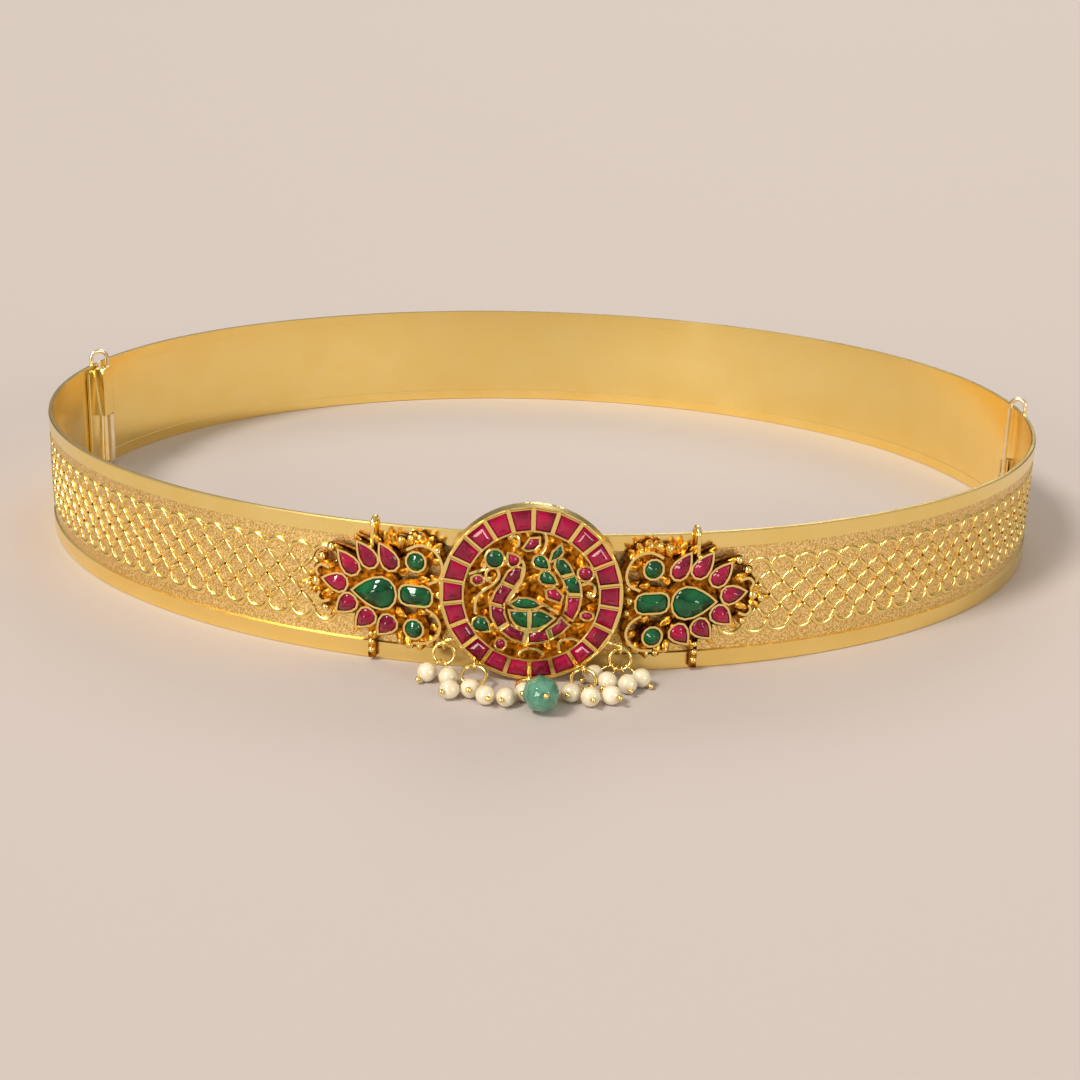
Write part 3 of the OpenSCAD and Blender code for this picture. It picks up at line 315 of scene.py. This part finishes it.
# The back section is the same strip left plain, polished on both sides.
# Its barrel at the left and its open knuckle at the right take the hairpins.
back_levels = (0, -0.25, -0.95, -1.08, -1.2)
back_heights = (0, 0.25, 3.2, 3.32, 27.98, 28.1, 31.05, 31.3)
back = copy_of("back_band", "back_section", False)
trued(back, back_levels, back_heights)
back.data.materials.append(polished)
back.data.materials.append(wire)
shade(back, chamfer_turn)
pale_barrels(back)
rolled(back)
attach(back, "back")
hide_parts("back_band")

# The trellis is rolled into the front section: crossing rows of small spindle ridges,
# closed by thick arcs at both edges, with a punched dot beside each crossing.
# One pitch is modelled flat, repeated, and then laid round the oval.
pitch, row_h, mesh_low, ground, top_row = 5.9, 2.85, 10.15, -0.48, 4
spindle_wide, spindle_high, spindle_share = 0.56, 0.47, 0.54
arc_wire, arc_flat, arc_foot, arc_reach, arc_play = 0.66, 0.72, 0.5, 0.75, 0.01
dot_r, dot_sunk = 0.24, 0.1
pit_r, pit_sunk, pit_reach = 0.34, 0.2, 0.36
dots = ((0.75, 0.35), (0.75, 2.35), (3.7, 1.35), (3.7, 3.35), (3.2, 4.3))
crossings = ((0, 0), (0, 2), (0, top_row), (pitch / 2, 1), (pitch / 2, 3))
edges = ((top_row, 1), (0, -1))


def at_row(x, out, row):
    """The place on the flat pitch, in metres, of a point x along, out of the band and rows up."""
    return Vector((x, -out, mesh_low + row * row_h)) * mm


def ridge(x0, row0, x1, row1):
    """Adds one spindle between two crossings of the flat pitch, half sunk in the ground."""
    run, climb = x1 - x0, (row1 - row0) * row_h
    bpy.ops.mesh.primitive_uv_sphere_add(
        segments=8, ring_count=7, radius=1,
        location=at_row((x0 + x1) / 2, ground, (row0 + row1) / 2),
        rotation=(0, math.atan2(run, climb), 0),
        scale=Vector((spindle_wide, spindle_high, math.hypot(run, climb) * spindle_share)) * mm)


# Painted shade: brown, dull gold in clots of 1 mm, laid on the pits and deep floors as the shade
# that falls in them
painted_shade_gold, spot = finish("painted_shade_brown_gold")
clot_size = 1.111 * mm
shade_mottle = put(painted_shade_gold.node_tree, "ShaderNodeTexNoise", {"Scale": 1 / clot_size, "Detail": 3}, spot)
tone = put(painted_shade_gold.node_tree, "ShaderNodeValToRGB",
           {"stops": [(0.38, tint("#5A2C06")), (0.64, tint("#C4801F"))]},
           {"Fac": shade_mottle.outputs["Fac"]})
crust = put(painted_shade_gold.node_tree, "ShaderNodeBump", {"Strength": 0.8, "Distance": 0.3 * mm},
            {"Height": shade_mottle.outputs["Fac"]})
put(painted_shade_gold.node_tree, "Principled BSDF", {"Metallic": 1, "Roughness": 0.42}, {
    "Base Color": tone.outputs["Color"], "Normal": crust.outputs["Normal"]})

bpy.ops.object.select_all(action="DESELECT")
ridge(0, top_row, pitch / 2, 3)
strip = bpy.context.object
bpy.ops.object.transform_apply(location=True, rotation=True, scale=True)
bpy.ops.object.mode_set(mode="EDIT")
for x, row0, row1 in ((0, 2, 3), (0, 2, 1), (0, 0, 1),
                      (pitch, top_row, 3), (pitch, 2, 3), (pitch, 2, 1), (pitch, 0, 1)):
    ridge(x, row0, pitch / 2, row1)
bpy.ops.mesh.select_all(action="DESELECT")
for row, way in edges:
    middle = at_row(pitch / 2, ground, row)
    bpy.ops.mesh.primitive_torus_add(
        location=middle, rotation=(math.radians(90), 0, 0), major_segments=24,
        minor_segments=8, major_radius=pitch / 2 * mm, minor_radius=arc_wire * mm)
    bpy.ops.mesh.bisect(plane_co=middle, plane_no=(0, 0, -way), clear_outer=True)
    bpy.ops.mesh.select_all(action="DESELECT")
for x, row in dots:
    bpy.ops.mesh.primitive_uv_sphere_add(
        segments=8, ring_count=5, radius=dot_r * mm, location=at_row(x, ground + dot_sunk, row))
for x, row in crossings:
    bpy.ops.mesh.primitive_uv_sphere_add(
        segments=7, ring_count=5, radius=pit_r * mm, location=at_row(x, ground + pit_sunk, row))
bpy.ops.object.mode_set(mode="OBJECT")
# The balls at the crossings are the pits between the spindles' tips, painted dark brown as painted
# shade
for face in strip.data.polygons:
    near_row = round((face.center.z / mm - mesh_low) / row_h)
    near_x = 0 if near_row % 2 == 0 else pitch / 2
    off = (face.center - at_row(near_x, ground + pit_sunk, near_row)) / mm
    if math.hypot(off.x, off.z) < pit_reach and abs(off.y) < pit_reach:
        face.material_index = 1
# An arc is thick at its crown and thin at its feet
for v in strip.data.vertices:
    for row, way in edges:
        over = v.co - at_row(pitch / 2, ground, row)
        spread = math.hypot(over.x, over.z)
        on_arc = abs(spread - pitch / 2 * mm) < arc_reach * mm
        if on_arc and over.z * way >= -arc_play * mm:
            share = arc_foot + (1 - arc_foot) * abs(over.z) / spread
            spread_now = pitch / 2 * mm + (spread - pitch / 2 * mm) * share
            v.co.x += over.x * (spread_now / spread - 1)
            v.co.z += over.z * (spread_now / spread - 1)
            v.co.y = -ground * mm + over.y * share * arc_flat
# Each side has its first pitch so many mm from the front's middle, and so many pitches
for name, node, start, count in (("left_trellis", "left_panel", -226.85, 31),
                                 ("right_trellis", "right_panel", 41.35, 28)):
    lattice = strip.copy()
    lattice.data = strip.data.copy()
    lattice.name = name
    bpy.context.scene.collection.objects.link(lattice)
    alone(lattice)
    pitches = lattice.modifiers.new("pitches", "ARRAY")
    pitches.count = count
    pitches.use_relative_offset = False
    pitches.use_constant_offset = True
    pitches.constant_offset_displace = (pitch * mm, 0, 0)
    bpy.ops.object.modifier_apply(modifier=pitches.name)
    for v in lattice.data.vertices:
        v.co = on_band(start + v.co.x / mm, -v.co.y / mm, v.co.z / mm)
    bpy.ops.object.shade_smooth()
    lattice.data.materials.append(polished)
    lattice.data.materials.append(painted_shade_gold)
    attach(lattice, "front")
    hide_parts(node)
bpy.data.objects.remove(strip)

# The hairpins are drawn wire, each bent by hand over the upper rim.
# One leg runs down through the barrels and holds the two sections together.
for name in ("left_hairpin", "right_hairpin"):
    # Their pale wire colour is a painted highlight
    nodes[name].material_slots[0].material = wire

# The disc is one casting: a round gallery with cell walls for the stones, scrolls of wire
# on a textured floor, and five eyes on wound necks along its lower edge.
disc_face, face_play, groove_wall, groove_deep, floor_deep = -132.5, 0.05, 0.17, 0.4, 2.1
disc_ease, casting_turn = 0.08, math.radians(50)


def pick(piece, kind, chosen):
    """Selects the faces or vertices of a piece that a test chooses, and stays in edit mode."""
    bpy.ops.object.mode_set(mode="EDIT")
    bpy.ops.mesh.select_mode(type=kind)
    bpy.ops.mesh.select_all(action="DESELECT")
    bpy.ops.object.mode_set(mode="OBJECT")
    for part in piece.data.polygons if kind == "FACE" else piece.data.vertices:
        part.select = chosen(part)
    bpy.ops.object.mode_set(mode="EDIT")


def ease(piece, width, sharp):
    """Rounds a piece's edges past an angle, as polishing does."""
    alone(piece)
    soft = piece.modifiers.new("eased_edges", "BEVEL")
    soft.width, soft.segments, soft.limit_method = width * mm, 2, "ANGLE"
    soft.angle_limit = sharp
    soft.use_clamp_overlap = True
    bpy.ops.object.modifier_apply(modifier=soft.name)
    shade(piece, sharp)


# Cast gold: warm amber, in grains of 0.9 mm, and only half polished down in the hollows
cast, spot = finish("cast_amber_gold")
skin_size = 0.909 * mm
skin = put(cast.node_tree, "ShaderNodeTexNoise", {"Scale": 1 / skin_size, "Detail": 3}, spot)
tone = put(cast.node_tree, "ShaderNodeValToRGB",
           {"stops": [(0.36, tint("#A65C0C")), (0.62, tint("#FFCB55"))]},
           {"Fac": skin.outputs["Fac"]})
lumps = put(cast.node_tree, "ShaderNodeBump", {"Strength": 0.8, "Distance": 0.3 * mm},
            {"Height": skin.outputs["Fac"]})
put(cast.node_tree, "Principled BSDF", {"Metallic": 1, "Roughness": 0.3}, {
    "Base Color": tone.outputs["Color"], "Normal": lumps.outputs["Normal"]})

disc = copy_of("disc_frame", "disc_casting", False)
disc.data.materials.append(polished)
disc.data.materials.append(painted_shade_gold)
# The walls are two thin wires with a groove between them, which is pressed in here
pick(disc, "FACE", lambda face: face.normal.y < -0.99
     and abs(face.center.y / mm - seat.y - disc_face) < face_play)
bpy.ops.mesh.inset(thickness=groove_wall * mm, depth=0, use_boundary=True)
bpy.ops.mesh.extrude_region_move(TRANSFORM_OT_translate={"value": (0, groove_deep * mm, 0)})
bpy.ops.object.mode_set(mode="OBJECT")
ease(disc, disc_ease, casting_turn)
# The deep floor is painted dark brown, as painted shade
for face in disc.data.polygons:
    if face.center.y / mm - seat.y - disc_face > floor_deep and face.normal.y < -0.5:
        face.material_index = 1
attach(disc, "front")
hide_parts("disc_frame")

# The two side motifs are castings of the same kind, with scrolls and granules round
# their stones. A wire hook grips the upper rim and a tab the lower one.
motif_turn, motif_gap, motif_z, motif_plate = 33 / front_r, 0.35, 17, 1.1
motif_ease, plate_face, plate_low, plate_high = 0.14, 0.6, -0.2, 2.2
hook_x, hook_from, hook_top, hook_in, hook_wire, hook_grip = 2, 10.25, 13.9, -2.15, 0.58, 0.56
hook_foot, hook_back_foot = 9.65, 11.3


def on_motif(way, x=0, y=0, turn_in=0, lean=0, high=0):
    """The matrix that takes a piece at the origin to a place and turn on a side motif."""
    plane = Matrix((
        (way * math.cos(motif_turn), 0, way * math.sin(motif_turn)),
        (math.sin(motif_turn), 0, -math.cos(motif_turn)),
        (0, 1, 0))).to_4x4()
    out = front_r + motif_gap
    middle = Vector((way * math.sin(motif_turn) * out, front_y - math.cos(motif_turn) * out,
                     motif_z))
    placed = Matrix.Translation(Vector((x, y, high)) * mm) @ Matrix.Rotation(
        math.radians(turn_in), 4, "Z") @ Matrix.Rotation(math.radians(-lean), 4, "Y")
    return Matrix.Translation((middle + seat) * mm) @ plane @ placed


def turn_out(piece):
    """Points all the faces of a piece outwards again, after it was mirrored."""
    alone(piece)
    bpy.ops.object.mode_set(mode="EDIT")
    bpy.ops.mesh.select_all(action="SELECT")
    bpy.ops.mesh.normals_make_consistent(inside=False)
    bpy.ops.object.mode_set(mode="OBJECT")


for side, way in (("left", -1), ("right", 1)):
    motif = copy_of(side + "_motif_frame", side + "_motif_casting")
    motif.data.materials.append(polished)
    motif.data.materials.append(painted_shade_gold)
    to_motif = on_motif(way).inverted()
    # The CAD model's square hook comes off, for a round one of wire
    pick(motif, "VERT", lambda v: abs((to_motif @ v.co / mm).x - hook_x) < hook_grip
         and (to_motif @ v.co / mm).y > hook_from)
    bpy.ops.mesh.delete(type="VERT")
    bpy.ops.object.mode_set(mode="OBJECT")
    ease(motif, motif_ease, casting_turn)
    # The broad plates round the stones are painted dark brown, as painted shade
    for face in motif.data.polygons:
        if face.area > plate_face * mm * mm and plate_low < depth_in(face.center) < plate_high:
            face.material_index = 1
    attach(motif, "front")
    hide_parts(side + "_motif_frame")
    # The hook's wire is bent in a round arch over the rim, one leg in front and one behind
    bpy.ops.object.select_all(action="DESELECT")
    half_span = (motif_plate - hook_in) / 2 * mm
    arch = Vector((hook_x, hook_top, (motif_plate + hook_in) / 2)) * mm
    bpy.ops.mesh.primitive_torus_add(
        location=arch, rotation=(0, math.radians(90), 0), major_segments=32, minor_segments=14,
        major_radius=half_span, minor_radius=hook_wire * mm)
    hook = bpy.context.object
    hook.name = side + "_rim_hook"
    bpy.ops.object.transform_apply(location=True, rotation=True, scale=True)
    bpy.ops.object.mode_set(mode="EDIT")
    bpy.ops.mesh.select_all(action="SELECT")
    bpy.ops.mesh.bisect(plane_co=arch, plane_no=(0, 1, 0), clear_inner=True)
    for leg, foot in ((motif_plate, hook_foot), (hook_in, hook_back_foot)):
        bpy.ops.mesh.primitive_cylinder_add(
            vertices=14, radius=hook_wire * mm, depth=(hook_top - foot) * mm,
            location=Vector((hook_x, (hook_top + foot) / 2, leg)) * mm,
            rotation=(math.radians(90), 0, 0))
    bpy.ops.object.mode_set(mode="OBJECT")
    hook.data.transform(on_motif(way))
    turn_out(hook)
    bpy.ops.object.shade_smooth_by_angle(angle=casting_turn)
    hook.data.materials.append(polished)
    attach(hook, "front")

# Behind the stones lie cast leaves and curls, half sunk in the plates and left amber.
# The leaf is modelled once, with a fold down its middle, and copied to every place.
leaf_l, leaf_w, leaf_t, leaf_taper, leaf_fold, fold_w = 1.7, 0.95, 0.7, 0.45, 0.45, 0.22
leaf_lean, leaf_rise = 14, 0.15
bpy.ops.object.select_all(action="DESELECT")
bpy.ops.mesh.primitive_uv_sphere_add(
    segments=14, ring_count=9, radius=1, rotation=(0, math.radians(90), 0))
leaf = bpy.context.object
bpy.ops.object.transform_apply(location=True, rotation=True, scale=True)
for v in leaf.data.vertices:
    waist = 1 - leaf_taper * v.co.x
    fold = 1 - leaf_fold * math.exp(-(v.co.y / fold_w) ** 2)
    v.co = Vector((v.co.x * leaf_l, v.co.y * leaf_w * waist, v.co.z * leaf_t * fold)) * mm


def spray_of(name, placings):
    """Copies the leaf to each place, and joins the copies to one piece of cast gold."""
    parts = []
    for placing in placings:
        part = leaf.copy()
        part.data = leaf.data.copy()
        bpy.context.scene.collection.objects.link(part)
        part.data.transform(placing)
        parts.append(part)
    alone(parts[0])
    for part in parts:
        part.select_set(True)
    bpy.ops.object.join()
    spray = bpy.context.object
    spray.name = name
    turn_out(spray)
    bpy.ops.object.shade_smooth()
    spray.data.materials.append(cast)
    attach(spray, "front")


# On a motif each leaf has its place in mm, the turn of its tip in degrees, and its size
leaves = (
    (-4.6, 10.9, 120, 1), (-3, 11.6, 95, 1), (-1.4, 11.8, 75, 1), (-6.4, 11.4, 140, 0.9),
    (-9.4, 12.3, 100, 1), (-7.9, 12.4, 78, 0.9), (-11, 11.9, 122, 1), (-12.6, 10.9, 142, 0.9),
    (0.9, 11.2, 58, 0.9), (5.2, 10.6, 62, 0.9), (9.6, 8.1, 45, 0.9), (12, 4.6, 22, 0.9),
    (12.4, -2.2, -14, 0.9), (10.6, -6.4, -40, 0.8), (5.6, -9.6, -55, 0.8),
    (1.2, -10.6, -60, 0.8), (-4.4, -10.6, -110, 0.9), (-6.2, -11.5, -95, 0.9),
    (-9, -11.7, -85, 0.9), (-11.4, -10.7, -120, 0.9), (-12.6, 7.6, 165, 0.9),
    (-11.2, 8.8, 110, 0.8), (-12.4, -7.6, -165, 0.9), (-5.2, 4.6, 150, 1),
    (-4.6, -4.9, -150, 1), (-9.6, 3.4, 175, 0.9), (-9.4, -4.2, -175, 0.9),
    (-12.2, 3.9, 30, 0.8), (-12, -4.4, -30, 0.8), (15.4, 1.6, 35, 0.8),
    (15.3, -1.9, -35, 0.8), (17.2, -0.3, 0, 0.9),
)
for side, way in (("left", -1), ("right", 1)):
    spray_of(side + "_cast_leaves", [
        on_motif(way, x, y, turn_in, leaf_lean, motif_plate + leaf_rise) @ Matrix.Scale(size, 4)
        for x, y, turn_in, size in leaves])
# On the disc's floor they lie in four rings, each of a radius, a count and a shift round,
# and every leaf's tip swings a little off the next one's
disc_middle, disc_leaf_lean, disc_leaf_size = Vector((0, disc_face + 2.35, 20)) + seat, 10, 0.95
tip_turn, tip_swing, tip_beat = 0.9, 0.7, 5
placings = []
for ring, count, shift in ((12.2, 19, 0), (9.3, 14, 0.4), (6.2, 9, 0.1), (3, 5, 0.3)):
    for k in range(count):
        swing = (k + shift) / count * math.tau
        middle = disc_middle + Vector((math.cos(swing), 0, math.sin(swing))) * ring
        tip = swing + tip_turn + tip_swing * math.sin(tip_beat * k + ring)
        placings.append(
            Matrix.Translation(middle * mm) @ Matrix.Rotation(math.radians(90), 4, "X")
            @ Matrix.Rotation(tip, 4, "Z")
            @ Matrix.Rotation(math.radians(-disc_leaf_lean), 4, "Y")
            @ Matrix.Scale(disc_leaf_size, 4))
spray_of("disc_cast_leaves", placings)
bpy.data.objects.remove(leaf)

# The red stones are pressed and cut glass on foil, set in cells or in claws of gold wire.
# They are deep magenta, pinker where lit, and no two are of quite the same batch.
ruby, spot = finish("foiled_ruby_glass")
stone_size = 4.167 * mm
batch = put(ruby.node_tree, "ShaderNodeTexNoise", {"Scale": 1 / stone_size, "Detail": 1}, spot)
tone = put(ruby.node_tree, "ShaderNodeValToRGB",
           {"stops": [(0.35, tint("#8C0034")), (0.65, tint("#CE0650"))]},
           {"Fac": batch.outputs["Fac"]})
put(ruby.node_tree, "Principled BSDF", {
    "Roughness": 0.05, "IOR": 1.54, "Transmission Weight": 0.5},
    {"Base Color": tone.outputs["Color"]})
# A table rises in three rings, each with its share of the last one's width and of the rise
dome_rings, table_inset = ((0.8, 0.45), (0.7, 0.35), (0.45, 0.2)), 0.001
cabochon_turn, cut_turn = math.radians(60), math.radians(2)
to_front = Vector((0, -1, 0))


def dome(node, outward, rise, glass, sharp=cabochon_turn):
    """Replaces a node's stones by ones whose flat tables rise to a dome or to a cut."""
    stones = copy_of(node, node.replace("rubies", "ruby_cabochons").replace(
        "emerald", "emerald_cabochon"))
    pick(stones, "FACE", lambda face: face.normal.dot(outward) > 0.99)
    for share, height in dome_rings:
        bpy.ops.object.mode_set(mode="EDIT")
        bpy.ops.mesh.inset(thickness=table_inset * mm, depth=0, use_individual=True)
        bpy.ops.object.mode_set(mode="OBJECT")
        for face in stones.data.polygons:
            if face.select:
                middle = face.center.copy()
                for v in [stones.data.vertices[i] for i in face.vertices]:
                    v.co = middle + (v.co - middle) * share + outward * rise * height * mm
    bpy.ops.object.shade_smooth_by_angle(angle=sharp)
    stones.data.materials.append(glass)
    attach(stones, "front")
    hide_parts(node)


dome("ring_rubies", to_front, 0.3, ruby, cut_turn)
dome("peacock_rubies", to_front, 0.25, ruby)
for side, way in (("left", -1), ("right", 1)):
    outward = Vector((way * math.sin(motif_turn), -math.cos(motif_turn), 0))
    dome(side + "_petal_rubies", outward, 0.55, ruby)

# The green stones are the same foiled glass in emerald, domed higher on the motifs.
# Their green is deep, with a few paler clouds of some 4 mm.
emerald, spot = finish("foiled_emerald_glass")
cloud_size = 3.846 * mm
clouds = put(emerald.node_tree, "ShaderNodeTexNoise", {"Scale": 1 / cloud_size, "Detail": 2}, spot)
tone = put(emerald.node_tree, "ShaderNodeValToRGB",
           {"stops": [(0.35, tint("#004824")), (0.7, tint("#08864A"))]},
           {"Fac": clouds.outputs["Fac"]})
put(emerald.node_tree, "Principled BSDF", {
    "Roughness": 0.05, "IOR": 1.54, "Transmission Weight": 0.5},
    {"Base Color": tone.outputs["Color"]})
dome("peacock_emeralds", to_front, 0.25, emerald)
for side, way in (("left", -1), ("right", 1)):
    outward = Vector((way * math.sin(motif_turn), -math.cos(motif_turn), 0))
    for place, rise in (("pear", 1), ("bar", 0.7), ("upper", 0.6), ("lower", 0.6)):
        dome(side + "_" + place + "_emerald", outward, rise, emerald)

# The pearls are small cultured ones, drilled through and threaded on head pins.
# Their nacre is cream, with a satin lustre under a clear gloss, and shades every 2.4 mm.
nacre, spot = finish("cream_pearl_nacre")
shade_size = 2.381 * mm
layers = put(nacre.node_tree, "ShaderNodeTexNoise", {"Scale": 1 / shade_size, "Detail": 2}, spot)
tone = put(nacre.node_tree, "ShaderNodeValToRGB",
           {"stops": [(0.3, tint("#D8CBA8")), (0.7, tint("#EEE4CB"))]},
           {"Fac": layers.outputs["Fac"]})
put(nacre.node_tree, "Principled BSDF", {
    "Roughness": 0.3, "Coat Weight": 1, "Coat Roughness": 0.06, "Coat IOR": 1.66},
    {"Base Color": tone.outputs["Color"]})
for name in nodes:
    if name.startswith("pearl_"):
        nodes[name].material_slots[0].material = nacre

# The ribbed bead is pressed sea-green glass, fire-polished and drilled for its head pin.
# It is cloudy, in clouds of some 4 mm, and lets a little light through.
sea_glass, spot = finish("cloudy_green_glass")
clouds = put(sea_glass.node_tree, "ShaderNodeTexNoise", {"Scale": 1 / cloud_size, "Detail": 4},
             spot)
tone = put(sea_glass.node_tree, "ShaderNodeValToRGB",
           {"stops": [(0.35, tint("#2F8A6C")), (0.68, tint("#8CCBB0"))]},
           {"Fac": clouds.outputs["Fac"]})
put(sea_glass.node_tree, "Principled BSDF", {
    "Roughness": 0.12, "IOR": 1.52, "Transmission Weight": 0.45, "Coat Weight": 0.4},
    {"Base Color": tone.outputs["Color"]})
bead = copy_of("melon_bead", "ribbed_bead")
melt = bead.modifiers.new("pressed_shape", "REMESH")
melt.mode, melt.voxel_size = "VOXEL", 0.16 * mm
bpy.ops.object.modifier_apply(modifier=melt.name)
soft = bead.modifiers.new("fire_polish", "SMOOTH")
soft.factor, soft.iterations = 0.5, 12
bpy.ops.object.modifier_apply(modifier=soft.name)
bpy.ops.object.shade_smooth()
bead.data.materials.append(sea_glass)
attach(bead, "front")
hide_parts("melon_bead")

# The jump rings and head pins are soft gold wire, closed by hand round the disc's eyes.
# Each head pin ends in a small ball that keeps its pearl or bead on.
for name in nodes:
    if name.startswith("jump_ring_") or name.startswith("head_pins_"):
        nodes[name].material_slots[0].material = polished
